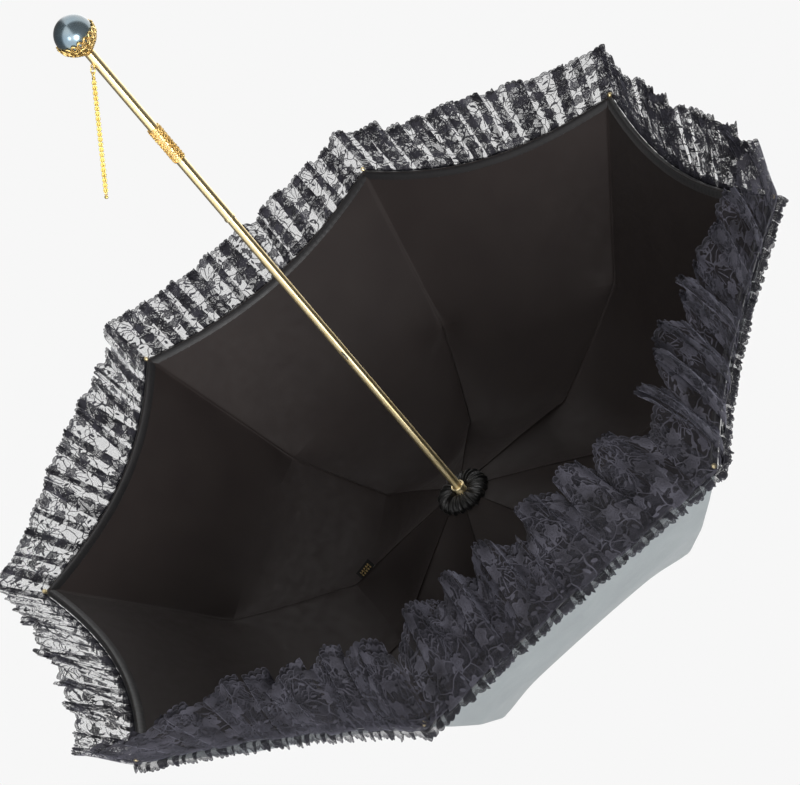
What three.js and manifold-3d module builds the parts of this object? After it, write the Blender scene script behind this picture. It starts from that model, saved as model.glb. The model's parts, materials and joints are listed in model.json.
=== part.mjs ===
// A lace parasol, open: eight ribs, double cloth, a lace ruffle, and a pearl knob on a gilt shaft.
// Millimetres, +Z up. The shaft is the Z axis, the canopy is at the top and the knob at the bottom.
// The origin is on the shaft's axis at the middle of the hand grip.
import * as THREE from "three";
import { mergeVertices } from "three/addons/utils/BufferGeometryUtils.js";
import Module from "manifold-3d";

const wasm = await Module();
wasm.setup();

// ---------- driving dimensions ----------
const RIBS = 8;
const SECTOR = (2 * Math.PI) / RIBS;
const RIM_RADIUS = 440; // shaft axis to a rib's tip
const RIM_Z = 440; // height of the rib tips above the grip

// Shaft, handle and knob
const SHAFT_RADIUS = 4.6;
const SHAFT_BORE = SHAFT_RADIUS - 0.8;
const SHAFT_BOTTOM = 140;
const SHAFT_TOP = RIM_Z + 250;
const SLEEVE_RADIUS = SHAFT_RADIUS + 0.4;
const SLEEVE_TOP = 158.4;
const SLEEVE_BOTTOM = -62;
const SLEEVE_LIP = SLEEVE_RADIUS + 0.6;
const COLLAR_RADIUS = SLEEVE_RADIUS + 0.9;
const COLLAR_FROM = 35;
const COLLAR_TO = 75;
const PEARL_RADIUS = 18.5;
const PEARL_Z = SLEEVE_BOTTOM - PEARL_RADIUS - 3.1;
const SETTING_INNER = PEARL_RADIUS + 0.4;
const SETTING_OUTER = PEARL_RADIUS + 1.4;
const SETTING_EDGE = 80; // degrees from the shaft to the setting's free edge
const SETTING_LOOPS = 18;
const FERRULE_TOP = RIM_Z + 332;

// Runner and its rosette, with heights above the rim
const RUNNER_LIP_Z = 132;
const RUNNER_TOP_Z = 177;
const RUNNER_BORE = SHAFT_RADIUS + 1.3;
const RUNNER_GUIDE_BORE = SHAFT_RADIUS + 0.1;
const RUNNER_RADIUS = RUNNER_BORE + 0.8;
const RUNNER_LIP_RADIUS = RUNNER_RADIUS + 0.9;
const CROWN_RADIUS = RUNNER_RADIUS + 3.9;
const ROSETTE_PLEATS = 20;
const ROSETTE_INNER = RUNNER_RADIUS + 0.6;
const ROSETTE_OUTER = ROSETTE_INNER + 18.7;
const CATCH_Z = -83.6;

// Rib line in its own plane, as [radius, height above the rim].
const SPREAD = RIM_RADIUS / 440; // moves the places along a rib out with the rim
const NOTCH_PIVOT = [SHAFT_RADIUS + 6.4, 226.6];
const RIB_JOINT = [164.6 * SPREAD, 209];
const SHOULDER = [304 * SPREAD, 163.7];
const RIB_TIP = [RIM_RADIUS, 0];
const RIB_WIDTH = 2.8;
const RIB_HEIGHT = 3;
const RIB_END_GAP = 1.6; // from a pivot to the bar's end
const TIP_BALL_RADIUS = 2.7;

// Stretchers end beside a lug that hangs from each rib.
const RUNNER_PIVOT = [CROWN_RADIUS + 1.4, 154];
const STRETCHER_END = [RIB_JOINT[0], 196];
const LUG_THICKNESS = 1.6;
const LUG_WIDTH = 5;
const STRETCHER_WIDTH = 2.2;
const STRETCHER_HEIGHT = 2.4;
const STRETCHER_SIDE = RIB_WIDTH + 0.6;

// Cloth
const OUTER_LIFT = RIB_HEIGHT / 2 + 1.6; // outer cloth above the rib line
const OUTER_THICK = 0.8;
const LINING_THICK = 0.6;
const GORE_SAG = 0.03; // how far a gore's middle is pulled in at the rim, as a share of the radius
const HEM_CUT = 0.03; // how far the hem rises between two ribs, as a share of the rim radius
const PANEL_GAP = 0.2; // each side of the line where two panels meet
const PANEL_STEPS = 3; // facets from the rib to the middle of a gore
const OUTER_INNER = SHAFT_RADIUS + 12.4;
const OUTER_RADII = [
  OUTER_INNER,
  ...[45, 85, 124, 164.6, 204, 238, 272, 304, 349, 393, 437].map((radius) => radius * SPREAD),
];
const LINING_LINE = [
  [ROSETTE_OUTER + 1.5, 146],
  ...[[95, 166.5], [164.6, 190.5], [235, 174.5], [304, 155.8], [372, 75.5], [430, 7.1]].map(
    ([radius, height]) => [radius * SPREAD, height],
  ),
];

// Lace ruffle: its lean from level outward toward the handle, at each rib in turn
const RUFFLE_LEAN = [96, 68, 92, 98, 66, 80, 126, 128];
const RUFFLE_WIDTH = 84;
const RUFFLE_THICK = 0.8;
const RUFFLE_PLEATS = 10;
const PLEAT_DEPTH = 5;
const SCALLOP_DEPTH = 3;

// Wrist chain
const CHAIN_AZIMUTH = -6; // degrees
const CHAIN_LEAN = 41.3; // degrees from the shaft, toward the canopy
const CHAIN_LENGTH = 112;
const CHAIN_BEADS = 16;
const LUG_Z = SLEEVE_BOTTOM + 11.4;
const LUG_OUT = SLEEVE_RADIUS + 2;

const GOLD = { color: 0xd9b56a, roughness: 0.25, metalness: 1 };
const PEARL = { color: 0x8b979c, roughness: 0.25, metalness: 0.2 };
const STEEL = { color: 0x8f8f8c, roughness: 0.4, metalness: 1 };
const OUTER = { color: 0x868d90, roughness: 0.55, metalness: 0 };
const SATIN = { color: 0x2a2424, roughness: 0.5, metalness: 0 };
const LACE = { color: 0x16151a, roughness: 0.8, metalness: 0 };

const parasol = new THREE.Group();
parasol.name = "lace_parasol";

const radians = THREE.MathUtils.degToRad;

// ---------- solids and meshes ----------
function signedVolume(geometry) {
  const position = geometry.getAttribute("position");
  const index = geometry.index;
  const a = new THREE.Vector3();
  const b = new THREE.Vector3();
  const c = new THREE.Vector3();
  let volume = 0;
  for (let i = 0; i < index.count; i += 3) {
    a.fromBufferAttribute(position, index.getX(i));
    b.fromBufferAttribute(position, index.getX(i + 1));
    c.fromBufferAttribute(position, index.getX(i + 2));
    volume += a.dot(b.cross(c)) / 6;
  }
  return volume;
}

// Shares corners between faces, leaves out faces of no area, and turns the faces outward.
function closed(geometry) {
  const bare = geometry.clone();
  bare.deleteAttribute("normal");
  bare.deleteAttribute("uv");
  const merged = mergeVertices(bare, 1e-4);
  const kept = [];
  for (let i = 0; i < merged.index.count; i += 3) {
    const [a, b, c] = [0, 1, 2].map((k) => merged.index.getX(i + k));
    if (a !== b && b !== c && c !== a) {
      kept.push(a, b, c);
    }
  }
  merged.setIndex(kept);
  if (signedVolume(merged) < 0) {
    merged.setIndex(kept.reverse());
  }
  return merged;
}

function solid(geometry) {
  const shape = closed(geometry);
  return new wasm.Manifold(
    new wasm.Mesh({
      numProp: 3,
      vertProperties: new Float32Array(shape.getAttribute("position").array),
      triVerts: new Uint32Array(shape.index.array),
    }),
  );
}

function geometryOf(manifold) {
  const mesh = manifold.getMesh();
  const geometry = new THREE.BufferGeometry();
  geometry.setAttribute("position", new THREE.BufferAttribute(mesh.vertProperties, 3));
  geometry.setIndex(new THREE.BufferAttribute(mesh.triVerts, 1));
  return geometry;
}

function joined(geometries) {
  return geometryOf(geometries.map(solid).reduce((all, next) => all.add(next)));
}

function cut(geometry, tools) {
  return geometryOf(tools.map(solid).reduce((left, tool) => left.subtract(tool), solid(geometry)));
}

function add(name, geometry, look, parent = parasol) {
  const shown = closed(geometry);
  shown.computeVertexNormals();
  const mesh = new THREE.Mesh(shown, new THREE.MeshStandardMaterial(look));
  mesh.name = name;
  parent.add(mesh);
  return mesh;
}

// A solid of revolution about Z from [radius, z] points.
function turned(profile, sides = 24) {
  const points = profile.map(([r, z]) => new THREE.Vector2(r, z));
  return new THREE.LatheGeometry(points, sides).rotateX(Math.PI / 2);
}

// A ring of revolution: the profile is closed on itself.
function turnedRing(profile, sides = 24) {
  return turned([...profile, profile[0]], sides);
}

// A solid between two grids of points, top[row][column] and bottom[row][column].
function slab(top, bottom) {
  const rows = top.length;
  const columns = top[0].length;
  const positions = [];
  for (const grid of [top, bottom]) {
    for (const row of grid) {
      for (const point of row) {
        positions.push(point.x, point.y, point.z);
      }
    }
  }
  const at = (side, row, column) => side * rows * columns + row * columns + column;
  const index = [];
  const quad = (a, b, c, d) => index.push(a, b, c, a, c, d);
  for (let i = 0; i < rows - 1; i++) {
    for (let j = 0; j < columns - 1; j++) {
      quad(at(0, i, j), at(0, i + 1, j), at(0, i + 1, j + 1), at(0, i, j + 1));
      quad(at(1, i, j), at(1, i, j + 1), at(1, i + 1, j + 1), at(1, i + 1, j));
    }
    quad(at(0, i, 0), at(1, i, 0), at(1, i + 1, 0), at(0, i + 1, 0));
    quad(at(0, i, columns - 1), at(0, i + 1, columns - 1), at(1, i + 1, columns - 1), at(1, i, columns - 1));
  }
  for (let j = 0; j < columns - 1; j++) {
    quad(at(0, 0, j), at(0, 0, j + 1), at(1, 0, j + 1), at(1, 0, j));
    quad(at(0, rows - 1, j), at(1, rows - 1, j), at(1, rows - 1, j + 1), at(0, rows - 1, j + 1));
  }
  const geometry = new THREE.BufferGeometry();
  geometry.setAttribute("position", new THREE.Float32BufferAttribute(positions, 3));
  geometry.setIndex(index);
  return geometry;
}

// A bar along [radius, height] points in a rib's plane; side moves it off that plane.
function bar(line, height, width, side = 0) {
  const directions = line.map((point, i) => {
    const before = line[Math.max(i - 1, 0)];
    const after = line[Math.min(i + 1, line.length - 1)];
    return new THREE.Vector2(after[0] - before[0], after[1] - before[1]).normalize();
  });
  const edge = (sign) =>
    line.map(([r, z], i) => {
      const up = new THREE.Vector2(-directions[i].y, directions[i].x);
      return new THREE.Vector2(r + (sign * up.x * height) / 2, z + (sign * up.y * height) / 2);
    });
  const outline = new THREE.Shape([...edge(1), ...edge(-1).reverse()]);
  const geometry = new THREE.ExtrudeGeometry(outline, { depth: width, bevelEnabled: false });
  return geometry.rotateX(Math.PI / 2).translate(0, side + width / 2, RIM_Z);
}

// ---------- rib and cloth lines ----------
const upperRib = new THREE.CatmullRomCurve3(
  [NOTCH_PIVOT, [85 * SPREAD, 223], RIB_JOINT, [238 * SPREAD, 189.5], SHOULDER].map(([r, z]) => new THREE.Vector3(r, 0, z)),
);

function upperRibPoints(steps, startGap, endGap) {
  const length = upperRib.getLength();
  const points = [];
  for (let i = 0; i <= steps; i++) {
    const along = startGap + ((length - startGap - endGap) * i) / steps;
    const point = upperRib.getPointAt(Math.min(1, along / length)); // the last share can round to just over 1
    points.push([point.x, point.z]);
  }
  return points;
}

const RIB_TABLE = [...upperRibPoints(60, 0, 0), RIB_TIP];

function heightOn(table, radius) {
  for (let i = 1; i < table.length; i++) {
    if (radius <= table[i][0] || i === table.length - 1) {
      const [r0, z0] = table[i - 1];
      const [r1, z1] = table[i];
      return z0 + ((z1 - z0) * (radius - r0)) / (r1 - r0);
    }
  }
  return table[0][1];
}

// A point of the stretched cloth, in the frame of the rib that carries it. across is -1 or 1 in the
// middle of the gores either side of the rib. The cloth is straight from rib to rib, a little pulled in.
function clothPoint(table, radius, across, gap = 0) {
  const share = Math.abs(across) / 2;
  const middle = 4 * share * (1 - share);
  const pulled = radius * (1 - HEM_CUT * middle * (radius / RIM_RADIUS) ** 4);
  const height = heightOn(table, pulled);
  const reach = pulled * (1 - GORE_SAG * middle * (pulled / RIM_RADIUS) ** 2);
  const next = Math.sign(across) * SECTOR;
  const x = reach * (1 - share + share * Math.cos(next));
  const y = reach * share * Math.sin(next);
  const point = new THREE.Vector3(x, y, height + RIM_Z);
  const inward = new THREE.Vector3(Math.sin(SECTOR / 2), -Math.sign(across) * Math.cos(SECTOR / 2), 0);
  return point.addScaledVector(inward, gap * Math.max(0, Math.abs(across) * 4 - 3));
}

function clothNormal(table, radius, across) {
  const step = 0.02;
  const outward = clothPoint(table, radius + 2, across).sub(clothPoint(table, radius - 2, across));
  const side = Math.abs(across) < 1 ? Math.min(step, 1 - Math.abs(across)) : 0;
  if (side === 0) {
    const middle = new THREE.Vector3(-Math.sin(SECTOR / 2), Math.sign(across) * Math.cos(SECTOR / 2), 0);
    return outward.cross(middle).multiplyScalar(Math.sign(across)).normalize();
  }
  const tangent = clothPoint(table, radius, across + side).sub(clothPoint(table, radius, across - side));
  return outward.cross(tangent).normalize();
}

// One panel of cloth: the half of each neighbouring gore that hangs from one rib.
function clothPanel(table, radii, lift, thick) {
  const grid = (offset) =>
    radii.map((radius) => {
      const row = [];
      for (let j = -PANEL_STEPS; j <= PANEL_STEPS; j++) {
        const across = j / PANEL_STEPS;
        const point = clothPoint(table, radius, across, PANEL_GAP);
        row.push(point.addScaledVector(clothNormal(table, radius, across), offset));
      }
      return row;
    });
  return slab(grid(lift + thick / 2), grid(lift - thick / 2));
}

// ---------- metal parts on the axis ----------
function shaft() {
  const tube = turnedRing([
    [SHAFT_BORE, SHAFT_BOTTOM],
    [SHAFT_RADIUS, SHAFT_BOTTOM],
    [SHAFT_RADIUS, SHAFT_TOP],
    [SHAFT_BORE, SHAFT_TOP],
  ]);
  const slot = new THREE.BoxGeometry(4, 2, 12).translate(SHAFT_RADIUS, 0, RIM_Z + CATCH_Z);
  return cut(tube, [slot.rotateZ(radians(-45))]);
}

// The sprung catch that holds the closed runner: a wedge with its step toward the canopy.
function runnerCatch() {
  const root = SHAFT_BORE + 0.1;
  const outline = new THREE.Shape();
  outline.moveTo(root, -5);
  outline.lineTo(root + 0.8, -5);
  outline.lineTo(root + 1.6, 3.2);
  outline.lineTo(root + 1.5, 4.2);
  outline.lineTo(root + 0.7, 5);
  outline.lineTo(root, 5);
  const wedge = new THREE.ExtrudeGeometry(outline, { depth: 1.4, bevelEnabled: false });
  return wedge.rotateX(Math.PI / 2).translate(0, 0.7, RIM_Z + CATCH_Z).rotateZ(radians(-45));
}

function handleSleeve() {
  const beads = 5;
  const band = (COLLAR_TO - COLLAR_FROM) / beads;
  const profile = [[0, SLEEVE_BOTTOM], [SLEEVE_RADIUS, SLEEVE_BOTTOM], [SLEEVE_RADIUS, COLLAR_FROM]];
  for (let i = 0; i < beads; i++) {
    const from = COLLAR_FROM + i * band;
    profile.push([COLLAR_RADIUS - 0.25, from + 0.2]);
    profile.push([COLLAR_RADIUS, from + band * 0.5]);
    profile.push([COLLAR_RADIUS - 0.25, from + band - 0.2]);
  }
  profile.push([SLEEVE_RADIUS, COLLAR_TO], [SLEEVE_RADIUS, SLEEVE_TOP - 4]);
  profile.push([SLEEVE_LIP, SLEEVE_TOP - 2.6], [SLEEVE_LIP, SLEEVE_TOP - 0.8], [SLEEVE_RADIUS, SLEEVE_TOP]);
  profile.push([SHAFT_RADIUS + 0.08, SLEEVE_TOP], [SHAFT_RADIUS + 0.08, SHAFT_BOTTOM - 0.3], [0, SHAFT_BOTTOM - 0.3]);
  const lug = new THREE.TorusGeometry(2, 0.6, 6, 14).rotateX(Math.PI / 2).translate(LUG_OUT, 0, LUG_Z);
  return joined([turned(profile), lug.rotateZ(radians(CHAIN_AZIMUTH))]);
}

function pearlKnob() {
  return new THREE.SphereGeometry(PEARL_RADIUS, 24, 14).rotateX(Math.PI / 2).translate(0, 0, PEARL_Z);
}

// The filigree cup over the shaft side of the pearl, with a row of oval loops at its edge.
function knobSetting() {
  const steps = 5;
  const rim = radians(SETTING_EDGE);
  const arc = (radius, from, to) => {
    const points = [];
    for (let i = 0; i <= steps; i++) {
      const angle = from + ((to - from) * i) / steps;
      points.push([radius * Math.sin(angle), PEARL_Z + radius * Math.cos(angle)]);
    }
    return points;
  };
  const neck = SLEEVE_BOTTOM - 0.3;
  const start = Math.asin(SLEEVE_RADIUS / SETTING_OUTER);
  const cup = turned(
    [...arc(SETTING_INNER, 0, rim), ...arc(SETTING_OUTER, rim, start), [SLEEVE_RADIUS, neck], [0, neck]],
    SETTING_LOOPS * 2,
  );
  const loops = [];
  for (let i = 0; i < SETTING_LOOPS; i++) {
    const turn = ((i + 0.5) * 2 * Math.PI) / SETTING_LOOPS;
    const loop = new THREE.CylinderGeometry(1, 1, 6, 8).scale(2.2, 1, 3.1).rotateZ(-Math.PI / 2);
    loop.scale(1, 1, 1).rotateY(radians(-20)).translate(SETTING_OUTER * Math.sin(radians(66)), 0, 0);
    loops.push(loop.translate(0, 0, PEARL_Z + SETTING_OUTER * Math.cos(radians(66))).rotateZ(turn));
  }
  return cut(cup, loops);
}

function ferrule() {
  const base = RIM_Z + 233;
  return turned([
    [0, SHAFT_TOP + 0.5],
    [SHAFT_RADIUS + 0.15, SHAFT_TOP + 0.5],
    [SHAFT_RADIUS + 0.15, base],
    [SHAFT_RADIUS + 12.9, base],
    [SHAFT_RADIUS + 12.9, base + 1],
    [SHAFT_RADIUS + 7.4, base + 3.4],
    [SHAFT_RADIUS + 2.6, base + 5],
    [SHAFT_RADIUS + 1.8, base + 9],
    [SHAFT_RADIUS + 1, base + 12],
    [SHAFT_RADIUS + 1, FERRULE_TOP - 30],
    [SHAFT_RADIUS + 1.8, FERRULE_TOP - 28],
    [SHAFT_RADIUS + 1.8, FERRULE_TOP - 25],
    [SHAFT_RADIUS, FERRULE_TOP - 22],
    [3.6, FERRULE_TOP - 3],
    [0, FERRULE_TOP],
  ]);
}

function topNotch() {
  const bore = SHAFT_RADIUS + 0.05;
  return turnedRing([
    [bore, RIM_Z + 212],
    [SHAFT_RADIUS + 2, RIM_Z + 212],
    [SHAFT_RADIUS + 2, RIM_Z + 220],
    [SHAFT_RADIUS + 4.6, RIM_Z + 222],
    [SHAFT_RADIUS + 4.6, RIM_Z + 230.5],
    [bore, RIM_Z + 230.5],
  ]);
}

function runner() {
  const [lip, top] = [RIM_Z + RUNNER_LIP_Z, RIM_Z + RUNNER_TOP_Z];
  const crown = RIM_Z + RUNNER_PIVOT[1];
  return turnedRing([
    [RUNNER_BORE, lip],
    [RUNNER_LIP_RADIUS - 0.6, lip],
    [RUNNER_LIP_RADIUS, lip + 0.8],
    [RUNNER_LIP_RADIUS, lip + 2.2],
    [RUNNER_RADIUS, lip + 3],
    [RUNNER_RADIUS, crown - 3],
    [CROWN_RADIUS, crown - 1.5],
    [CROWN_RADIUS, crown + 1.5],
    [RUNNER_RADIUS, crown + 3],
    [RUNNER_RADIUS, top],
    [RUNNER_GUIDE_BORE, top],
    [RUNNER_GUIDE_BORE, top - 7],
    [RUNNER_BORE, top - 8.5],
  ]);
}

// Gathered cloth round the runner: a puffed ring with radial folds.
function rosette() {
  const outline = [
    [ROSETTE_INNER, 139],
    [ROSETTE_INNER + 4.7, 137],
    [ROSETTE_INNER + 11.7, 137.6],
    [ROSETTE_OUTER - 2, 140.5],
    [ROSETTE_OUTER, 145],
    [ROSETTE_OUTER - 3, 149],
    [ROSETTE_INNER + 8.7, 150.4],
    [ROSETTE_INNER + 1.7, 149.4],
  ];
  const sides = ROSETTE_PLEATS * 2;
  const geometry = turnedRing(outline, sides);
  const position = geometry.getAttribute("position");
  for (let i = 0; i < position.count; i++) {
    const [x, y, z] = [position.getX(i), position.getY(i), position.getZ(i)];
    const radius = Math.hypot(x, y);
    const fold = Math.cos(Math.atan2(y, x) * ROSETTE_PLEATS) * Math.min(1, (radius - ROSETTE_INNER) / 8);
    const grow = 1 - (0.05 * (1 - fold)) / 2;
    position.setXYZ(i, x * grow, y * grow, z + RIM_Z + (z < 144 ? 1 : -1) * (1 - fold) * 0.7);
  }
  return geometry;
}

// ---------- wrist chain ----------
const chainWay = new THREE.Vector3(Math.sin(radians(CHAIN_LEAN)), 0, Math.cos(radians(CHAIN_LEAN)));

// Turns a piece built along +Z from the lug's hole into the chain's way.
function alongChain(geometry) {
  return geometry.rotateY(radians(CHAIN_LEAN)).translate(LUG_OUT, 0, LUG_Z).rotateZ(radians(CHAIN_AZIMUTH));
}

function chainRing() {
  const ring = new THREE.TorusGeometry(3.2, 0.55, 8, 20).rotateY(Math.PI / 2).translate(0, 0, 3.2);
  return alongChain(ring);
}

// A doubled chain seen as two rows of rounded links, with a loop at the top and a stop at the end.
function wristChain() {
  const strand = (side) => {
    const profile = [[0, 10.2]];
    const link = (CHAIN_LENGTH - 4) / CHAIN_BEADS;
    for (let i = 0; i < CHAIN_BEADS; i++) {
      profile.push([0.75, 10.2 + i * link + 0.05], [1.35, 10.2 + i * link + link * 0.35]);
      profile.push([1.35, 10.2 + i * link + link * 0.65]);
    }
    profile.push([0.75, 10.2 + CHAIN_LENGTH - 4], [0, 10.2 + CHAIN_LENGTH - 3.9]);
    return turned(profile, 6).translate(side * 1.7, 0, 0);
  };
  const loop = new THREE.TorusGeometry(1.7, 0.5, 6, 14).rotateX(Math.PI / 2).translate(0, 0, 6.9);
  const yoke = new THREE.SphereGeometry(2.3, 10, 7).scale(1.25, 0.8, 1).translate(0, 0, 10.4);
  const stop = new THREE.SphereGeometry(2.2, 10, 7).scale(1.35, 0.8, 1).translate(0, 0, CHAIN_LENGTH + 6);
  return alongChain(joined([strand(-1), strand(1), loop, yoke, stop]));
}

// ---------- ribs and stretchers ----------
function ribInner() {
  const arm = bar(upperRibPoints(9, RIB_END_GAP, RIB_END_GAP), RIB_HEIGHT, RIB_WIDTH);
  const [radius, foot] = STRETCHER_END;
  const drop = heightOn(RIB_TABLE, radius) - foot + STRETCHER_HEIGHT / 2;
  const lug = new THREE.BoxGeometry(LUG_WIDTH, LUG_THICKNESS, drop);
  return joined([arm, lug.translate(radius, 0, RIM_Z + foot - STRETCHER_HEIGHT / 2 + drop / 2)]);
}

function lowerRibPoint(along) {
  const [dr, dz] = [RIB_TIP[0] - SHOULDER[0], RIB_TIP[1] - SHOULDER[1]];
  const share = along / Math.hypot(dr, dz);
  return [SHOULDER[0] + dr * share, SHOULDER[1] + dz * share];
}

// The straight lower rib with its gilt ball tip.
function ribOuter() {
  const length = Math.hypot(RIB_TIP[0] - SHOULDER[0], RIB_TIP[1] - SHOULDER[1]);
  const straight = bar([lowerRibPoint(RIB_END_GAP), lowerRibPoint(length + 1)], RIB_HEIGHT, RIB_WIDTH);
  const [r, z] = lowerRibPoint(length + 2.4);
  const ball = new THREE.SphereGeometry(TIP_BALL_RADIUS, 10, 6).translate(r, 0, z + RIM_Z);
  return joined([straight, ball]);
}

function stretcher() {
  return bar([RUNNER_PIVOT, STRETCHER_END], STRETCHER_HEIGHT, STRETCHER_WIDTH, STRETCHER_SIDE);
}

// ---------- lace ruffle ----------
function leanAt(rib, across) {
  const own = RUFFLE_LEAN[rib];
  const next = RUFFLE_LEAN[(rib + Math.sign(across) + RIBS) % RIBS];
  return radians(own + ((next - own) * Math.abs(across)) / 2);
}

function ruffleSolid(rib) {
  const columns = RUFFLE_PLEATS * 2;
  const rows = 2;
  const start = 3.6;
  const grid = (side) => {
    const all = [];
    for (let i = 0; i <= rows; i++) {
      const row = [];
      for (let j = -columns / 2; j <= columns / 2; j++) {
        const across = (2 * j) / columns;
        const hem = clothPoint(RIB_TABLE, RIM_RADIUS - 2, across, PANEL_GAP);
        const level = new THREE.Vector3(hem.x, hem.y, 0).normalize();
        const lean = leanAt(rib, across);
        const way = level.clone().multiplyScalar(Math.cos(lean)).add(new THREE.Vector3(0, 0, -Math.sin(lean)));
        const tangent = new THREE.Vector3(-level.y, level.x, 0);
        const face = way.clone().cross(tangent);
        const ends = Math.abs(j) === columns / 2 ? 0 : 1;
        const scallop = ends * (j % 2 === 0 ? 1 : -1) * SCALLOP_DEPTH * 0.5;
        const long = start + ((RUFFLE_WIDTH + scallop - start) * i) / rows;
        const wave = ends * (j % 2 === 0 ? 0.5 : -0.5) * PLEAT_DEPTH * (0.15 + (0.85 * i) / rows);
        hem.addScaledVector(way, long).addScaledVector(face, wave + (side * RUFFLE_THICK) / 2);
        row.push(hem);
      }
      all.push(row);
    }
    return all;
  };
  const [tipR, tipZ] = lowerRibPoint(Math.hypot(RIB_TIP[0] - SHOULDER[0], RIB_TIP[1] - SHOULDER[1]) + 2.4);
  const room = new THREE.SphereGeometry(TIP_BALL_RADIUS + 1.6, 8, 6).translate(tipR, 0, tipZ + RIM_Z);
  return cut(slab(grid(1), grid(-1)), [room]);
}

// The small woven tag on the lining by the second rib.
function label() {
  const from = clothPoint(LINING_LINE, 140, 0.24);
  const to = clothPoint(LINING_LINE, 161, 0.06);
  const middle = from.clone().add(to).multiplyScalar(0.5);
  const normal = clothNormal(LINING_LINE, 151, 0.15);
  const long = to.clone().sub(from).normalize();
  const wide = normal.clone().cross(long);
  const tag = new THREE.BoxGeometry(22, 12, 0.5);
  tag.applyMatrix4(new THREE.Matrix4().makeBasis(long, wide, normal));
  return tag.translate(...middle.addScaledVector(normal, -2.2).toArray());
}

// ---------- assembly ----------
add("shaft", shaft(), GOLD);
add("runner_catch", runnerCatch(), STEEL);
add("handle_sleeve", handleSleeve(), GOLD);
add("pearl_knob", pearlKnob(), PEARL);
add("knob_setting", knobSetting(), GOLD);
add("ferrule", ferrule(), GOLD);
add("top_notch", topNotch(), GOLD);
add("runner", runner(), GOLD);
add("rosette", rosette(), SATIN);
add("chain_ring", chainRing(), GOLD);
add("wrist_chain", wristChain(), GOLD);

for (let rib = 0; rib < RIBS; rib++) {
  const sector = new THREE.Group();
  sector.rotation.z = rib * SECTOR;
  parasol.add(sector);
  const number = rib + 1;
  add(`rib_inner_${number}`, ribInner(), STEEL, sector);
  add(`rib_outer_${number}`, ribOuter(), GOLD, sector);
  add(`stretcher_${number}`, stretcher(), STEEL, sector);
  add(`outer_cloth_${number}`, clothPanel(RIB_TABLE, OUTER_RADII, OUTER_LIFT, OUTER_THICK), OUTER, sector);
  add(`lining_${number}`, clothPanel(LINING_LINE, LINING_LINE.map(([r]) => r), 0, LINING_THICK), SATIN, sector);
  add(`lace_ruffle_${number}`, ruffleSolid(rib), LACE, sector);
  if (number === 2) {
    add("label", label(), SATIN, sector);
  }
}

export default parasol;
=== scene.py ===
"""The looks of an open lace parasol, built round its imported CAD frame.

Sizes are in millimetres, in the frame's own axes: +Z runs up the shaft from the pearl knob to the ferrule.
Meshes are turned into metres as they are made.
"""
import json
import math

import bpy
import numpy as np
from mathutils import Matrix, Vector


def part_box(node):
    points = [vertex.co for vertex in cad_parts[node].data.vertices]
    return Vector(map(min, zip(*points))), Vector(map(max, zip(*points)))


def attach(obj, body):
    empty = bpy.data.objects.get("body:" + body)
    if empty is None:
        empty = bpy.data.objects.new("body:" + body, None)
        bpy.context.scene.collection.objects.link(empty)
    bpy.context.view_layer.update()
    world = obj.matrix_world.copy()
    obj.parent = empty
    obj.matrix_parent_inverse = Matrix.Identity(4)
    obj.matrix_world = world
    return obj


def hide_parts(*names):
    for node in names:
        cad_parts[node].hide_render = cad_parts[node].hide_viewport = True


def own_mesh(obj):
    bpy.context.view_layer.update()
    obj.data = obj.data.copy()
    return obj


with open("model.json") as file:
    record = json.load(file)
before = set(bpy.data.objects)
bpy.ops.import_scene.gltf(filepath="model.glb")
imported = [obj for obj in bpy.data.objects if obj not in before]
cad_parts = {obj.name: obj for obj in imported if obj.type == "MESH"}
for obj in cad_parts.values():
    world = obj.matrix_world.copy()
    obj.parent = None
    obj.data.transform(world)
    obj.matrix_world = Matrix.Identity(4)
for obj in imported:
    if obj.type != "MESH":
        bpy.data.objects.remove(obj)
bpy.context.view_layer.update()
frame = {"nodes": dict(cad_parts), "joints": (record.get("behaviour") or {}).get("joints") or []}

MM = 0.001
RIBS = 8
SECTOR = 2 * math.pi / RIBS


def joint_position(name):
    """Where a joint is, in metres."""
    return next(joint["pos_m"] for joint in frame["joints"] if joint["name"] == name)


def joint_place(name):
    """Radius and height of a joint, in mm."""
    x, y, z = joint_position(name)
    return math.hypot(x, y) / MM, z / MM


# ---------- sizes taken from the frame ----------
RIM_RADIUS, RIM_Z = joint_place("ruffle_1_fold")
SHOULDER_RADIUS, SHOULDER_Z = joint_place("rib_1_flex")
NOTCH_RADIUS, NOTCH_Z = joint_place("rib_1_swing")
PEARL_LOW, PEARL_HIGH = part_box("pearl_knob")
PEARL_RADIUS = (PEARL_HIGH.z - PEARL_LOW.z) / MM / 2
PEARL_Z = (PEARL_HIGH.z + PEARL_LOW.z) / MM / 2
ROSETTE_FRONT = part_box("rosette")[0].z / MM

# ---------- cloth lines, as [radius, height above the rim] ----------
RIB_LINE = [
    [NOTCH_RADIUS, NOTCH_Z - RIM_Z], [50, 225.6], [85, 223], [124, 217.8], [164.6, 209], [204, 199.3],
    [238, 189.5], [272, 177.6], [SHOULDER_RADIUS, SHOULDER_Z - RIM_Z], [RIM_RADIUS, 0],
]
STRETCHER_RING = 164.6  # radius where the lining leaves the stretchers for the ribs
LINING_LINE = [
    [27.5, 146], [95, 166.5], [STRETCHER_RING, 190.5], [235, 174.5], [SHOULDER_RADIUS, 155.8], [372, 75.5],
    [438, -2.4],
]
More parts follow.
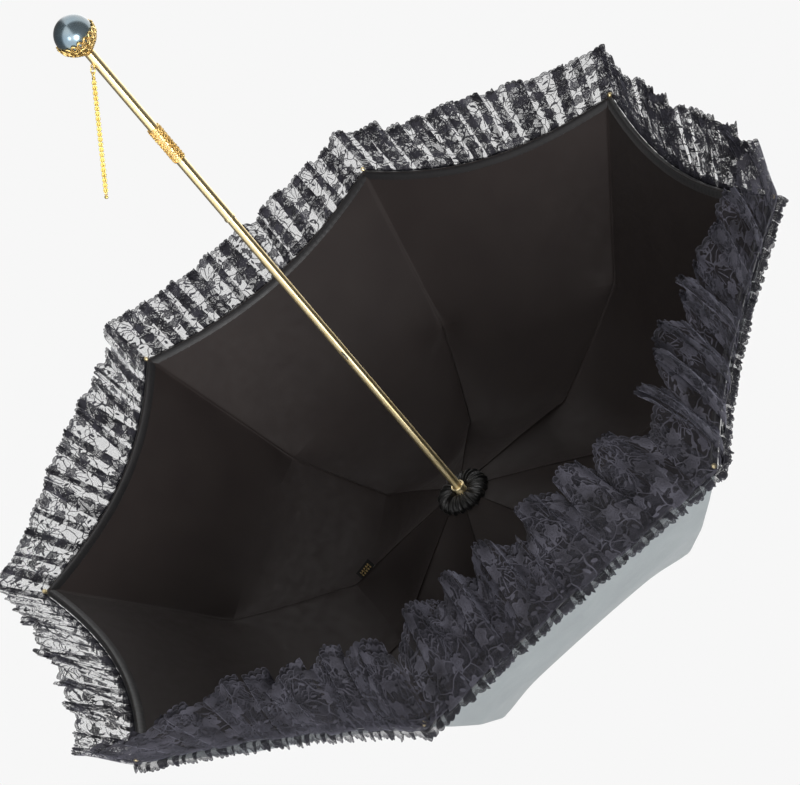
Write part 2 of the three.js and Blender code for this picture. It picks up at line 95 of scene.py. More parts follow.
# The outer cloth's distance from the ribs' line, and how far the lining billows in mid-gore, each by radius.
OUTER_LIFT = [[0, 3.1], [200, 3.2], [255, 5.2], [304, 3.4], [352, 7.2], [395, 5.5], [440, 2.4]]
BILLOW = [[27, 0], [70, 5], [130, 13], [190, 12], [250, 7], [304, 3.5], [380, 2], [440, 0]]
GORE_SAG = 0.03  # share of its reach that the cloth loses in mid-gore
HEM_CUT = 0.03  # share of the radius that the hem is cut back in mid-gore
ROUNDING = 34  # how far the cloth's corners are eased between two ribs
RIB_ROUNDING = 5  # and on a rib
SEAM_WIDTH = 0.009  # half width of a seam on a rib, as a share of half a gore
CREASE_DEPTH = 0.55  # of the creases where the lining is sewn down
OUTER_THICK = 0.6
LINING_THICK = 0.4

# ---------- lace ----------
RUFFLE_LEAN = [69, 50, 88, 98, 68, 80, 126, 128]  # degrees from level outward toward the knob, at each rib
RUFFLE_REACH = [0.9, 0.7, 0.85, 0.85, 0.72, 1, 1, 1]  # share of the width that shows at each rib
RUFFLE_FULLNESS = [6, 6, 6, 6, 6, 7, 8, 8]  # height of the pleats at the free edge, at each rib
RUFFLE_DEPTH = [17, 16, 16, 16, 16, 20, 29, 28]  # how far a pleat's folds overlap, at each rib
RUFFLE_PUFF = [2, 0, 0, 0, 0, 9, 23, 21]  # height of the wide puffs that the pleats ride on
PUFF_LENGTH = 50  # width of one puff
STITCH_OUT = 4.6  # the lace is sewn on outside the binding
RIM_SLOPE = 50  # degrees, the canopy's slope at the rim
TURN_LENGTH = 16  # the lace turns from the rim's slope to its own lean over this length
RUFFLE_WIDTH = 86
RUFFLE_PITCH = 25  # usual width of a pleat
HEADING_LEAN = -68
HEADING_WIDTH = 15
HEADING_TURN = 9
HEADING_PITCH = 13
HEADING_DEPTH = 10
HEADING_FULLNESS = 4.5
LACE_REPEAT = 34  # width of one fan of the lace's border
LACE_LOOP = 7.2  # width of one loop of its free edge


# ---------- small helpers ----------
def smoothstep(x):
    x = np.clip(x, 0, 1)
    return x * x * (3 - 2 * x)


def turn_about_z(points, angle):
    c, s = math.cos(angle), math.sin(angle)
    return points @ np.array([[c, s, 0], [-s, c, 0], [0, 0, 1]])


def unit(vectors):
    return vectors / np.linalg.norm(vectors, axis=-1, keepdims=True)


def on_line(line, radius):
    """Height on a line of [radius, height] points, going straight on past its ends."""
    r, z = np.array(line, float).T
    first = (z[1] - z[0]) / (r[1] - r[0])
    last = (z[-1] - z[-2]) / (r[-1] - r[-2])
    r = np.concatenate([[r[0] - 100], r, [r[-1] + 100]])
    z = np.concatenate([[z[0] - 100 * first], z, [z[-1] + 100 * last]])
    return np.interp(radius, r, z)


# ---------- meshes ----------
def mesh_object(name, points, faces, cloth=None, sharp=None):
    """A mesh object from points in mm. cloth holds each point's place on the flat cloth, in mm."""
    mesh = bpy.data.meshes.new(name)
    corners = faces if isinstance(faces, list) else faces.tolist()
    mesh.from_pydata((np.asarray(points) * MM).tolist(), [], corners)
    mesh.update()
    mesh.shade_smooth()
    if sharp is not None:
        mesh.set_sharp_from_angle(angle=math.radians(sharp))
    if cloth is not None:
        flat = np.zeros((len(mesh.vertices), 3), np.float32)
        flat[:, :2] = cloth
        mesh.attributes.new("cloth_mm", "FLOAT_VECTOR", "POINT").data.foreach_set("vector", flat.ravel())
    piece = bpy.data.objects.new(name, mesh)
    bpy.context.scene.collection.objects.link(piece)
    return piece


def grid_faces(rows, columns, start=0, around=False):
    """Quads over a grid of points; around joins its last column to its first."""
    row = np.arange(rows - 1)[:, None] * columns
    column = np.arange(columns if around else columns - 1)[None, :]
    after = (column + 1) % columns
    quads = np.stack([row + column, row + after, row + columns + after, row + columns + column], -1)
    return quads.reshape(-1, 4) + start


def open_sheet(name, grid, flat):
    rows, columns = grid.shape[:2]
    return mesh_object(name, grid.reshape(-1, 3), grid_faces(rows, columns), flat.reshape(-1, 2))


def shell(name, grid, normals, thick, flat, sharp=50):
    """A closed sheet of cloth of that thickness, half of it each side of the grid."""
    rows, columns = grid.shape[:2]
    count = rows * columns
    points = np.concatenate([grid + normals * thick / 2, grid - normals * thick / 2]).reshape(-1, 3)
    top = grid_faces(rows, columns)
    faces = [top, top[:, ::-1] + count]
    for edge in (
        np.arange(columns),
        np.arange(columns)[::-1] + (rows - 1) * columns,
        np.arange(rows)[::-1] * columns,
        np.arange(rows) * columns + columns - 1,
    ):
        faces.append(np.stack([edge[1:], edge[:-1], edge[:-1] + count, edge[1:] + count], -1))
    cloth = np.concatenate([flat.reshape(-1, 2)] * 2)
    return mesh_object(name, points, np.concatenate(faces), cloth, sharp)


def ring_tube(centre, across_way, along_way, half_across, half_along, wire, turns=16, sides=8):
    """Points and faces of an oval wire ring lying in the plane of its two ways."""
    a, b = unit(np.array(across_way, float)), unit(np.array(along_way, float))
    normal = np.cross(a, b)
    t = np.linspace(0, 2 * math.pi, turns, endpoint=False)[:, None, None]
    s = np.linspace(0, 2 * math.pi, sides, endpoint=False)[None, :, None]
    out = unit(np.cos(t) * a * half_along + np.sin(t) * b * half_across)
    middle = np.array(centre, float) + np.cos(t) * a * half_across + np.sin(t) * b * half_along
    points = middle + wire * (np.cos(s) * out + np.sin(s) * normal)
    quads = grid_faces(turns + 1, sides, around=True)
    return points.reshape(-1, 3), quads % (turns * sides)  # the last row of quads meets the first points


def ball(centre, radii, turn=None, columns=14, rows=9):
    """Points and faces of a smooth ellipsoid; turn is a 3 by 3 matrix."""
    polar = np.linspace(0, math.pi, rows)[:, None]
    around = np.linspace(0, 2 * math.pi, columns, endpoint=False)[None, :]
    grid = np.stack(np.broadcast_arrays(
        np.sin(polar) * np.cos(around), np.sin(polar) * np.sin(around), np.cos(polar),
    ), -1)
    points = np.concatenate([grid[1:-1].reshape(-1, 3), [[0, 0, 1], [0, 0, -1]]]) * np.array(radii)
    if turn is not None:
        points = points @ np.array(turn).T
    faces = [list(q[::-1]) for q in grid_faces(rows - 2, columns, around=True)]
    north, south = (rows - 2) * columns, (rows - 2) * columns + 1
    last = (rows - 3) * columns
    for i in range(columns):
        after = (i + 1) % columns
        faces.append([north, i, after])
        faces.append([south, last + after, last + i])
    return points + np.array(centre), faces


def joined(parts):
    """One mesh's points and faces from several (points, faces) pairs."""
    points, faces, start = [], [], 0
    for own_points, own_faces in parts:
        points.append(own_points)
        faces += [[int(i) + start for i in face] for face in own_faces]
        start += len(own_points)
    return np.concatenate(points), faces


# ---------- materials ----------
class Graph:
    """Builds one material's nodes."""

    def __init__(self, name, **looks):
        self.material = bpy.data.materials.new(name)
        self.material.use_nodes = True
        self.nodes = self.material.node_tree.nodes
        self.links = self.material.node_tree.links
        self.shader = self.nodes["Principled BSDF"]
        for socket, value in looks.items():
            self.shader.inputs[socket.replace("_", " ")].default_value = value

    def node(self, kind, inputs=(), **settings):
        node = self.nodes.new("ShaderNode" + kind)
        for key, value in settings.items():
            setattr(node, key, value)
        for key, value in dict(inputs).items():
            self.put(node.inputs[key], value)
        return node

    def put(self, socket, value):
        if isinstance(value, bpy.types.NodeSocket):
            self.links.new(value, socket)
        else:
            socket.default_value = value

    def math(self, operation, *values, clamp=False):
        return self.node("Math", enumerate(values), operation=operation, use_clamp=clamp).outputs[0]

    def vector(self, operation, *values):
        node = self.node("VectorMath", operation=operation)
        for socket, value in zip([s for s in node.inputs if s.type == "VECTOR"], values):
            self.put(socket, value)
        return node.outputs["Value" if operation in ("LENGTH", "DOT_PRODUCT", "DISTANCE") else "Vector"]

    def add(self, first, second):
        return self.math("ADD", first, second)

    def subtract(self, first, second):
        return self.math("SUBTRACT", first, second)

    def multiply(self, first, second):
        return self.math("MULTIPLY", first, second)

    def either(self, *parts):
        """Where any of the parts is 1."""
        total = parts[0]
        for part in parts[1:]:
            total = self.math("MAXIMUM", total, part)
        return total

    def both(self, *parts):
        """Where all of the parts are 1."""
        total = parts[0]
        for part in parts[1:]:
            total = self.multiply(total, part)
        return total

    def times(self, vector, amount):
        return self.vector("MULTIPLY", vector, (amount, amount, amount))

    def below(self, value, limit, soft=0.12):
        """1 where value is under limit, fading to 0 over the soft width."""
        return self.math("DIVIDE", self.subtract(limit, value), soft, clamp=True)

    def over(self, value, limit, soft=0.12):
        return self.below(self.multiply(value, -1), -limit, soft)

    def line(self, value, half):
        """1 where value is within half of 0."""
        return self.below(self.math("ABSOLUTE", value), half)

    def folded(self, value, period):
        """How far value is from the middle of its period, as a share of the period."""
        share = self.math("FRACT", self.math("DIVIDE", value, period))
        return self.math("ABSOLUTE", self.subtract(share, 0.5))

    def thread(self, value, period, half):
        """Lines of that half width, one in each period."""
        return self.below(self.multiply(self.folded(value, period), period), half, 0.05)

    def split(self, vector):
        return self.node("SeparateXYZ", {0: vector}).outputs[:2]

    def cloth(self):
        """Where the surface is on its flat cloth, in mm."""
        return self.node("Attribute", attribute_name="cloth_mm").outputs["Vector"]

    def place(self):
        """Where the surface is in its own object, in mm."""
        return self.times(self.node("TexCoord").outputs["Object"], 1 / MM)

    def noise(self, vector, scale, detail=3.0):
        return self.node("TexNoise", {"Vector": vector, "Scale": scale, "Detail": detail}).outputs["Fac"]

    def mix(self, share, first, second):
        node = self.node("Mix", data_type="RGBA")
        for socket, value in zip((node.inputs[0], node.inputs[6], node.inputs[7]), (share, first, second)):
            self.put(socket, value)
        return node.outputs[2]

    def ramp(self, value, low, high, first, second):
        """A range of first to second as value runs from low to high."""
        node = self.node("MapRange", {
            "Value": value, "From Min": low, "From Max": high, "To Min": first, "To Max": second,
        })
        return node.outputs[0]

    def set(self, socket, value):
        self.put(self.shader.inputs[socket], value)

    def bump(self, height, strength, distance):
        node = self.node("Bump", {"Height": height, "Strength": strength, "Distance": distance * MM})
        self.set("Normal", node.outputs[0])


def woven(name, light, dark, roughness, sheen, gloss=0.35, thread=0.55, twill=0.35):
    """Satin: fine slanting threads, a soft uneven tone, and sheen."""
    g = Graph(name, Roughness=roughness, Sheen_Weight=sheen, Sheen_Roughness=0.45, Specular_IOR_Level=gloss)
    at = g.cloth()
    u, v = g.split(at)
    turns = 2 * math.pi / thread
    warp = g.math("SINE", g.multiply(u, turns))
    weft = g.math("SINE", g.multiply(g.add(v, g.multiply(u, twill)), turns))
    weave = g.multiply(g.add(warp, weft), 0.5)
    tone = g.add(g.multiply(g.noise(at, 0.02, 4), 0.8), g.multiply(g.noise(at, 0.6, 2), 0.2))
    shade = g.add(tone, g.multiply(weave, 0.06))
    g.set("Base Color", g.mix(g.ramp(shade, 0.3, 0.7, 0, 1), dark, light))
    g.set("Roughness", g.ramp(g.noise(at, 0.08), 0.3, 0.7, roughness - 0.05, roughness + 0.07))
    g.bump(weave, 0.18, 0.12)
    return g.material


def metal(name, light, dark, rough, scratch=0.12, relief=0.0, drawn=0.0):
    """Polished metal with faint handling marks; drawn is how far its gloss runs along the shaft."""
    g = Graph(name, Metallic=1.0, Anisotropic=drawn, Anisotropic_Rotation=0.25)
    at = g.place()
    marks = g.noise(g.vector("MULTIPLY", at, (1.0, 1.0, 0.15)), 0.25 if drawn else 2.2, 3)
    cloud = g.noise(at, 0.09, 3)
    g.set("Base Color", g.mix(g.ramp(cloud, 0.35, 0.7, 0, 1), light, dark))
    g.set("Roughness", g.ramp(marks, 0.3, 0.75, rough, rough + scratch))
    if drawn:
        g.set("Tangent", g.node("Tangent", direction_type="RADIAL", axis="Z").outputs[0])
    if relief:
        g.bump(g.noise(at, 1.3, 4), relief, 0.3)
    return g.material


def pearl_material():
    """Dark grey pearl: cloudy layers under a clear gloss."""
    g = Graph("grey_pearl", Coat_Weight=0.8, Coat_Roughness=0.05, Metallic=0.75)
    at = g.place()
    layers = g.noise(g.vector("MULTIPLY", at, (1, 1, 1.8)), 0.05, 3)
    # Painted shade: the base colour darkens toward the pearl's outline, where its surface turns away from the
    # view.
    edge = g.node("LayerWeight", {"Blend": 0.4}).outputs["Facing"]
    body = g.mix(g.ramp(layers, 0.35, 0.65, 0, 1), (0.17, 0.25, 0.31, 1), (0.27, 0.34, 0.37, 1))
    g.set("Base Color", g.mix(edge, body, (0.05, 0.08, 0.10, 1)))
    g.set("Roughness", g.ramp(layers, 0.3, 0.7, 0.2, 0.27))
    return g.material


class Lace(Graph):
    """Lace on its flat cloth: v is the distance from the stitched edge, edge that from the scalloped one."""

    def __init__(self, name, width):
        super().__init__(name, Roughness=0.75, Sheen_Weight=0.3, Sheen_Roughness=0.4, Specular_IOR_Level=0.2)
        self.shader.inputs["Sheen Tint"].default_value = (0.62, 0.62, 0.78, 1)
        self.at = self.cloth()
        self.u, self.v = self.split(self.at)
        self.loop = self.folded(self.u, LACE_LOOP)
        self.repeat = self.folded(self.u, LACE_REPEAT)
        loops = self.multiply(self.math("POWER", self.loop, 2.2), 11)
        fall = self.add(loops, self.multiply(self.repeat, 6))
        self.edge = self.subtract(self.subtract(width - 0.8, fall), self.v)

    def net(self, period, half):
        """Two sets of slanting threads."""
        slant = self.multiply(self.v, 0.58)
        rising = self.thread(self.add(self.u, slant), period, half)
        return self.either(rising, self.thread(self.subtract(self.u, slant), period, half))

    def across(self, folded, period):
        """Distance in mm from the point where a folded value is greatest."""
        return self.multiply(self.subtract(0.5, folded), period)

    def eyelets(self):
        """A row of small rings, one over each loop of the border."""
        middle = {0: self.across(self.loop, LACE_LOOP), 1: self.subtract(self.edge, 8)}
        spot = self.vector("LENGTH", self.node("CombineXYZ", middle).outputs[0])
        return self.line(self.subtract(spot, 1.9), 0.45)

    def vines(self):
        """Bent stems round uneven patches."""
        shake = self.node("TexNoise", {"Vector": self.at, "Scale": 0.07, "Detail": 0.0}).outputs["Color"]
        bend = self.times(self.vector("SUBTRACT", shake, (0.5, 0.5, 0.5)), 14)
        patches = {"Vector": self.vector("ADD", self.at, bend), "Scale": 1 / 19, "Randomness": 0.8}
        border = self.node("TexVoronoi", patches, feature="DISTANCE_TO_EDGE", voronoi_dimensions="2D")
        return self.below(border.outputs["Distance"], 0.036, 0.012)

    def blooms(self, size, offset, randomness):
        """Scattered motifs: each one's own coordinates, and random numbers for it."""
        moved = self.vector("ADD", self.at, (offset, offset * 0.6, 0))
        scatter = {"Vector": moved, "Scale": 1 / size, "Randomness": randomness}
        cell = self.node("TexVoronoi", scatter, feature="F1", voronoi_dimensions="2D")
        own = self.vector("MULTIPLY", self.vector("SUBTRACT", moved, cell.outputs["Position"]), (1, 1, 0))
        return own, self.split(cell.outputs["Color"])

    def roses(self):
        """Five-petalled roses with a netted body and a heart."""
        own, luck = self.blooms(24, 3, 0.55)
        x, y = self.split(own)
        far = self.vector("LENGTH", own)
        angle = self.add(self.math("ARCTAN2", y, x), self.multiply(luck[0], 6))
        petal = self.add(5.9, self.multiply(self.math("COSINE", self.multiply(angle, 5)), 1.3))
        rim = self.line(self.subtract(far, petal), 0.85)
        inner_rim = self.line(self.subtract(far, self.multiply(petal, 0.55)), 0.55)
        body = self.both(self.below(far, petal), self.net(0.75, 0.2))
        heart = self.below(far, 1.3)
        return self.both(self.either(rim, inner_rim, body, heart), self.below(luck[1], 0.85, 0.01))

    def leaves(self):
        """Small leaves that point every way."""
        own, luck = self.blooms(11, 41, 0.9)
        turn = {"Vector": own, "Angle": self.multiply(luck[0], 6.3)}
        spun = self.node("VectorRotate", turn, rotation_type="Z_AXIS").outputs[0]
        leaf = self.below(self.vector("LENGTH", self.vector("MULTIPLY", spun, (0.28, 0.66, 0))), 1.0, 0.2)
        return self.both(leaf, self.below(luck[1], 0.68, 0.01))

    def fans(self):
        """A fan of spokes over each wide scallop of the border."""
        x = self.across(self.repeat, LACE_REPEAT)
        y = self.subtract(self.edge, 27)
        far = self.math("SQRT", self.add(self.math("POWER", x, 2), self.math("POWER", y, 2)))
        spokes = self.multiply(self.folded(self.math("ARCTAN2", x, y), 0.42), self.multiply(far, 0.42))
        band = self.both(self.below(far, 18.5), self.over(far, 5))
        return self.both(band, self.below(spokes, 0.5))


def lace_material(name, width, motifs=True):
    """Black lace: a fine net with roses, leaves, vines and fans, and a border of loops at its free edge."""
    g = Lace(name, width)
    outline = g.line(g.subtract(g.edge, 0.45), 0.5)
    border = g.both(g.net(0.8, 0.15), g.below(g.edge, 4.2))
    solid = g.either(outline, g.net(1.3, 0.14 if motifs else 0.27), border)
    raised = outline
    if motifs:
        inner = g.line(g.subtract(g.edge, 4.4), 0.42)
        raised = g.either(outline, inner, g.eyelets(), g.vines(), g.roses(), g.leaves(), g.fans())
        solid = g.either(solid, raised)
    solid = g.either(solid, g.below(g.v, 1.6))
    g.set("Alpha", g.both(solid, g.over(g.edge, 0.0, 0.2), 0.97))
    cloud = g.ramp(g.noise(g.at, 0.035, 3), 0.35, 0.65, 0, 1)
    thick_thread = g.mix(cloud, (0.018, 0.017, 0.022, 1), (0.066, 0.064, 0.081, 1))
    thin_thread = g.mix(cloud, (0.006, 0.006, 0.008, 1), (0.03, 0.029, 0.037, 1))
    g.set("Base Color", g.mix(raised, thin_thread, thick_thread))
    g.bump(solid, 0.5, 0.25)
    return g.material


def label_material(length, width):
    """Black woven tag with a light selvage line and a plain gilt leaf spray."""
    g = Graph("woven_label", Roughness=0.7, Specular_IOR_Level=0.2)
    at = g.cloth()
    u, v = g.split(at)
    middle = g.subtract(v, width / 2)
    stem = g.line(g.subtract(middle, g.multiply(g.math("SINE", g.multiply(u, 0.75)), 1.1)), 0.32)
    cell = g.multiply(g.subtract(g.math("FRACT", g.math("DIVIDE", u, 3.1)), 0.5), 3.1)
    near = g.subtract(g.math("ABSOLUTE", middle), 2.0)
    far_along = g.math("POWER", g.math("DIVIDE", cell, 0.9), 2)
    far = g.add(far_along, g.math("POWER", g.math("DIVIDE", near, 1.2), 2))
    leaf = g.below(far, 1.0, 0.2)
    ends = g.multiply(g.below(u, length - 3.5), g.over(u, 3.5))
    gilt = g.multiply(g.either(stem, leaf), ends)
    selvage = g.line(g.subtract(v, width - 0.8), 0.22)
    black = g.mix(g.noise(at, 1.2), (0.002, 0.002, 0.002, 1), (0.006, 0.006, 0.006, 1))
    g.set("Base Color", g.mix(selvage, g.mix(gilt, black, (0.62, 0.45, 0.16, 1)), (0.3, 0.3, 0.29, 1)))
    weave = g.multiply(g.math("SINE", g.multiply(u, 14)), g.math("SINE", g.multiply(v, 14)))
    g.bump(weave, 0.3, 0.15)
    return g.material


GOLD = metal("gilt_brass", (1.0, 0.85, 0.52, 1), (0.97, 0.78, 0.42, 1), 0.4, 0.03, drawn=0.93)
OLD_GOLD = metal("gilt_filigree", (0.95, 0.70, 0.30, 1), (0.60, 0.40, 0.13, 1), 0.28, 0.2, relief=0.15)
CHAIN_GOLD = metal("gilt_chain", (1.0, 0.78, 0.25, 1), (0.85, 0.60, 0.15, 1), 0.25, 0.12)
STEEL = metal("rib_steel", (0.56, 0.56, 0.54, 1), (0.36, 0.36, 0.35, 1), 0.32, 0.15)
PEARL = pearl_material()
OUTER = woven("outer_satin", (0.235, 0.272, 0.285, 1), (0.190, 0.222, 0.236, 1), 0.5, 0.25)
LINING = woven("lining_satin", (0.038, 0.030, 0.028, 1), (0.029, 0.022, 0.021, 1), 0.52, 0.05, 0.18)
BINDING = woven("binding_satin", (0.016, 0.014, 0.015, 1), (0.008, 0.008, 0.009, 1), 0.4, 0.3)
ROSETTE = woven("rosette_satin", (0.016, 0.015, 0.014, 1), (0.007, 0.007, 0.007, 1), 0.32, 0.4)
LACE = lace_material("black_lace", RUFFLE_WIDTH)
HEADING_LACE = lace_material("lace_heading", HEADING_WIDTH, motifs=False)


def dress(piece, material, slot, body, *replaced):
    """Gives the piece its material and the body it rides, and hides the CAD nodes that it stands for. The
    slot is not used.
    """
    piece.data.materials.clear()
    piece.data.materials.append(material)
    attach(piece, body)
    if replaced:
        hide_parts(*replaced)


def fold_flat(piece):
    """Gives the piece its own copy of its mesh."""
    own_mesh(piece)


# ---------- camera, light and backdrop ----------
CAMERA_RIGHT = Vector((-0.544, -0.647, 0.535))
CAMERA_UP = Vector((-0.764, 0.117, -0.635))
CAMERA_SHARES = (0.024, 0.031)  # how far it stands right of and above the rim's centre, in rim radii
CAMERA_DISTANCE = 2289
CAMERA_LENS = 100.8
BACKDROP = 0.93  # what the camera sees behind the parasol
ROOM_LIGHT = 0.09  # what lights the parasol from all round
ROOM_BANDS = {"From Min": -0.1, "From Max": 0.5, "To Min": 0.16, "To Max": 1.7}  # what it reflects
ROOM_TURN = 0.9  # radians


def add_camera():
    """Adds the camera. Returns the way back to it from the rim."""
    right = CAMERA_RIGHT.normalized()
    back = right.cross(CAMERA_UP).normalized()
    up = back.cross(right)
    aside, above = (share * RIM_RADIUS for share in CAMERA_SHARES)
    place = Vector((0, 0, RIM_Z)) + back * CAMERA_DISTANCE + right * aside + up * above
    data = bpy.data.cameras.new("camera")
    data.lens = CAMERA_LENS
    data.clip_end = 60
    camera = bpy.data.objects.new("camera", data)
    camera.matrix_world = Matrix.Translation(place * MM) @ Matrix((right, up, back)).transposed().to_4x4()
    bpy.context.scene.collection.objects.link(camera)
    bpy.context.scene.camera = camera
    return back


def add_light(name, place, target, size, power):
    data = bpy.data.lights.new(name, "AREA")
    data.shape = "DISK"
    data.size = size
    data.energy = power
    light = bpy.data.objects.new(name, data)
    light.location = place
    light.rotation_euler = (Vector(target) - Vector(place)).to_track_quat("-Z", "Y").to_euler()
    bpy.context.scene.collection.objects.link(light)


def add_world():
    """A pale backdrop; the light and the reflections come from a dimmer, banded room."""
    world = bpy.data.worlds.new("studio")
    world.use_nodes = True
    nodes, links = world.node_tree.nodes, world.node_tree.links
    background = nodes["Background"]

    def new(kind, **settings):
        node = nodes.new("ShaderNode" + kind)
        for key, value in settings.items():
            setattr(node, key, value)
        return node

    def choose(ray, otherwise, seen):
        """What that kind of ray sees, and what every other kind does."""
        choice = new("Mix", data_type="FLOAT")
        links.new(path.outputs[ray], choice.inputs[0])
        for socket, value in ((choice.inputs[2], otherwise), (choice.inputs[3], seen)):
            if isinstance(value, float):
                socket.default_value = value
            else:
                links.new(value, socket)
        return choice.outputs[0]

    split = new("SeparateXYZ")
    links.new(new("TexCoord").outputs["Generated"], split.inputs[0])
    azimuth = new("Math", operation="ARCTAN2")
    links.new(split.outputs[1], azimuth.inputs[0])
    links.new(split.outputs[0], azimuth.inputs[1])
    turned = new("Math", operation="MULTIPLY_ADD")
    links.new(azimuth.outputs[0], turned.inputs[0])
    turned.inputs[1].default_value = 2
    turned.inputs[2].default_value = ROOM_TURN
    wave = new("Math", operation="COSINE")
    links.new(turned.outputs[0], wave.inputs[0])
    bands = new("MapRange", interpolation_type="SMOOTHSTEP")
    links.new(wave.outputs[0], bands.inputs["Value"])
    for socket, value in ROOM_BANDS.items():
        bands.inputs[socket].default_value = value
    path = new("LightPath")
    room = choose("Is Glossy Ray", ROOM_LIGHT, bands.outputs[0])
    links.new(choose("Is Camera Ray", room, BACKDROP), background.inputs["Color"])
    bpy.context.scene.world = world
    bpy.context.scene.view_settings.view_transform = "Standard"


back = add_camera()
add_world()
focus = Vector((0, 0, RIM_Z * MM))
add_light("key", focus + Vector((1.1, -2.6, -0.6)), focus, size=1.1, power=72)
add_light("side", focus + Vector((2.2, -1.3, -1.4)), focus, size=0.8, power=9)
add_light("top", (0.6, -0.4, 3.2), (0, 0, 0.5), size=2.0, power=20)


# ---------- stretched cloth ----------
def gore_share(across):
    """0 on the rib and 1 in the middle of the gore."""
    share = np.abs(across) / 2
    return 4 * share * (1 - share)


def cloth_points(line, radius, across):
    """Points of a cloth stretched over the ribs, in the frame of the rib that carries it.

    across is -1 or 1 in the middle of the gores either side. The line's corners ease away from the rib.
    """
    share = np.abs(across) / 2
    middle = gore_share(across)
    pulled = radius * (1 - HEM_CUT * middle * (radius / RIM_RADIUS) ** 4)
    eased = np.mean([on_line(line, pulled + ROUNDING * k) for k in np.linspace(-1, 1, 9)], axis=0)
    near = np.mean([on_line(line, pulled + RIB_ROUNDING * k) for k in (-1, 0, 1)], axis=0)
    blend = smoothstep(np.minimum(middle * 1.5, 1)) * smoothstep((pulled - 30) / 40)
    blend = blend * smoothstep((RIM_RADIUS - pulled) / 40)
    height = near * (1 - blend) + eased * blend
    reach = pulled * (1 - GORE_SAG * middle * (pulled / RIM_RADIUS) ** 2)
    side = np.where(across < 0, -1.0, 1.0)
    x = reach * (1 - share + share * math.cos(SECTOR))
    y = reach * share * math.sin(SECTOR) * side
    return np.stack([x, y, height + RIM_Z], -1)


def cloth_over(line, radius, across):
    """From one side of a point on that cloth to the other, along the rings."""
    return cloth_points(line, radius, across + 0.02) - cloth_points(line, radius, across - 0.02)


def cloth_normals(line, radius, across):
    """Normals of that cloth, pointing out of the dome."""
    along = cloth_points(line, radius + 2, across) - cloth_points(line, radius - 2, across)
    return unit(np.cross(along, cloth_over(line, radius, across)))


def cloth_grid(line, radii, columns, offset):
    """A cloth's points, normals and flat places. offset is its distance out from the line."""
    radius, across = np.meshgrid(radii, columns, indexing="ij")
    points = cloth_points(line, radius, across)
    normals = cloth_normals(line, radius, across)
    points = points + normals * offset(radius, across)[..., None]
    along = np.cumsum(np.linalg.norm(np.diff(points, axis=0, prepend=points[:1]), axis=-1), 0)
    flat = np.stack([points[..., 1], along + radii[0]], -1)
    return points, normals, flat


# Places across half a gore, closest together at the seam on the rib.
FINE_COLUMNS = np.array([
    0, 0.004, 0.009, 0.016, 0.03, 0.06, 0.1, 0.16, 0.24, 0.33, 0.43, 0.53, 0.63, 0.73, 0.82, 0.91, 1.0,
])
COLUMNS = np.concatenate([-FINE_COLUMNS[:0:-1], FINE_COLUMNS])


def seam(across):
    return np.exp(-((across / SEAM_WIDTH) ** 2))


def pull_at(radius, middle, width):
    """1 at a place where the lining is sewn down, fading out within that width."""
    return np.exp(-(((radius - middle) / width) ** 2))


def outer_offset(radius, across):
    return np.interp(radius, *np.array(OUTER_LIFT, float).T) + 0.5 * seam(across)


def lining_offset(radius, across):
    out = np.interp(radius, *np.array(BILLOW, float).T) * gore_share(across) ** 0.8
    pull = pull_at(radius, SHOULDER_RADIUS, 42) + pull_at(radius, STRETCHER_RING, 34)
    side = np.abs(across)
    crease = CREASE_DEPTH * pull * np.cos(radius / 8.5 + 26 * side) * np.exp(-side / 0.18) * (1 - side)
    return out + crease - 0.9 * seam(across)


def cloth_part(name, rib, line, start, end, rows, offset, thick, material, slot, body, keep, replaced=None):
    """One length of a cloth, from one radius to another, on the bar of that rib that carries it."""
    grid, normals, flat = cloth_grid(line, np.linspace(start, end, rows), COLUMNS, offset)
    turned, ways = turn_about_z(grid, rib * SECTOR), turn_about_z(normals, rib * SECTOR)
    piece = shell(f"{name}_{rib + 1}", turned, ways, thick, flat)
    nodes = [f"{replaced}_{rib + 1}"] if replaced else []
    dress(piece, material, slot, f"{body}_{rib + 1}", *nodes)
    fold_flat(piece)


def stretched_cloth(rib):
    outer = dict(rib=rib, line=RIB_LINE, offset=outer_offset, thick=OUTER_THICK, material=OUTER,
                 slot="outer_cloth")
    lining = dict(rib=rib, line=LINING_LINE, offset=lining_offset, thick=LINING_THICK, material=LINING,
                  slot="satin_lining")
    cloth_part("outer_cloth_upper", start=17.5, end=SHOULDER_RADIUS, rows=40, body="rib_inner", keep=0.17,
               replaced="outer_cloth", **outer)
    cloth_part("outer_cloth_lower", start=SHOULDER_RADIUS, end=RIM_RADIUS - 1.5, rows=22, body="rib_outer",
               keep=0.13, **outer)
    cloth_part("lining_centre", start=24, end=STRETCHER_RING, rows=26, body="stretcher", keep=0.1, **lining)
    cloth_part("lining_upper", start=STRETCHER_RING, end=SHOULDER_RADIUS, rows=26, body="rib_inner",
               keep=0.08, replaced="lining", **lining)
    cloth_part("lining_lower", start=SHOULDER_RADIUS, end=RIM_RADIUS - 3, rows=26, body="rib_outer",
               keep=0.07, **lining)


# ---------- hem ----------
def hem_frame(across):
    """Points of the hem, and the ways along it, down the cloth and out of it."""
    radius = np.full_like(across, RIM_RADIUS - 1)
    points = cloth_points(RIB_LINE, radius, across)
    normals = cloth_normals(RIB_LINE, radius, across)
    over = unit(cloth_over(RIB_LINE, radius, across))
    return points, over, unit(np.cross(over, normals)), normals


# The binding's section, as [distance past the hem, distance out of the cloth].
BINDING_SECTION = [
    [-7.5, -3.2], [-4.5, -3.9], [-1.5, -3.9], [1, -3], [2.3, -1], [2.2, 1.2], [0.8, 3.2], [-2.5, 4.0],
    [-5.5, 3.9], [-5.5, 3.5], [-2.4, 3.5], [0.4, 2.7], [1.6, 1], [1.7, -0.8], [0.6, -2.4], [-1.6, -3.4],
    [-4.5, -3.4], [-7.5, -2.8],
]


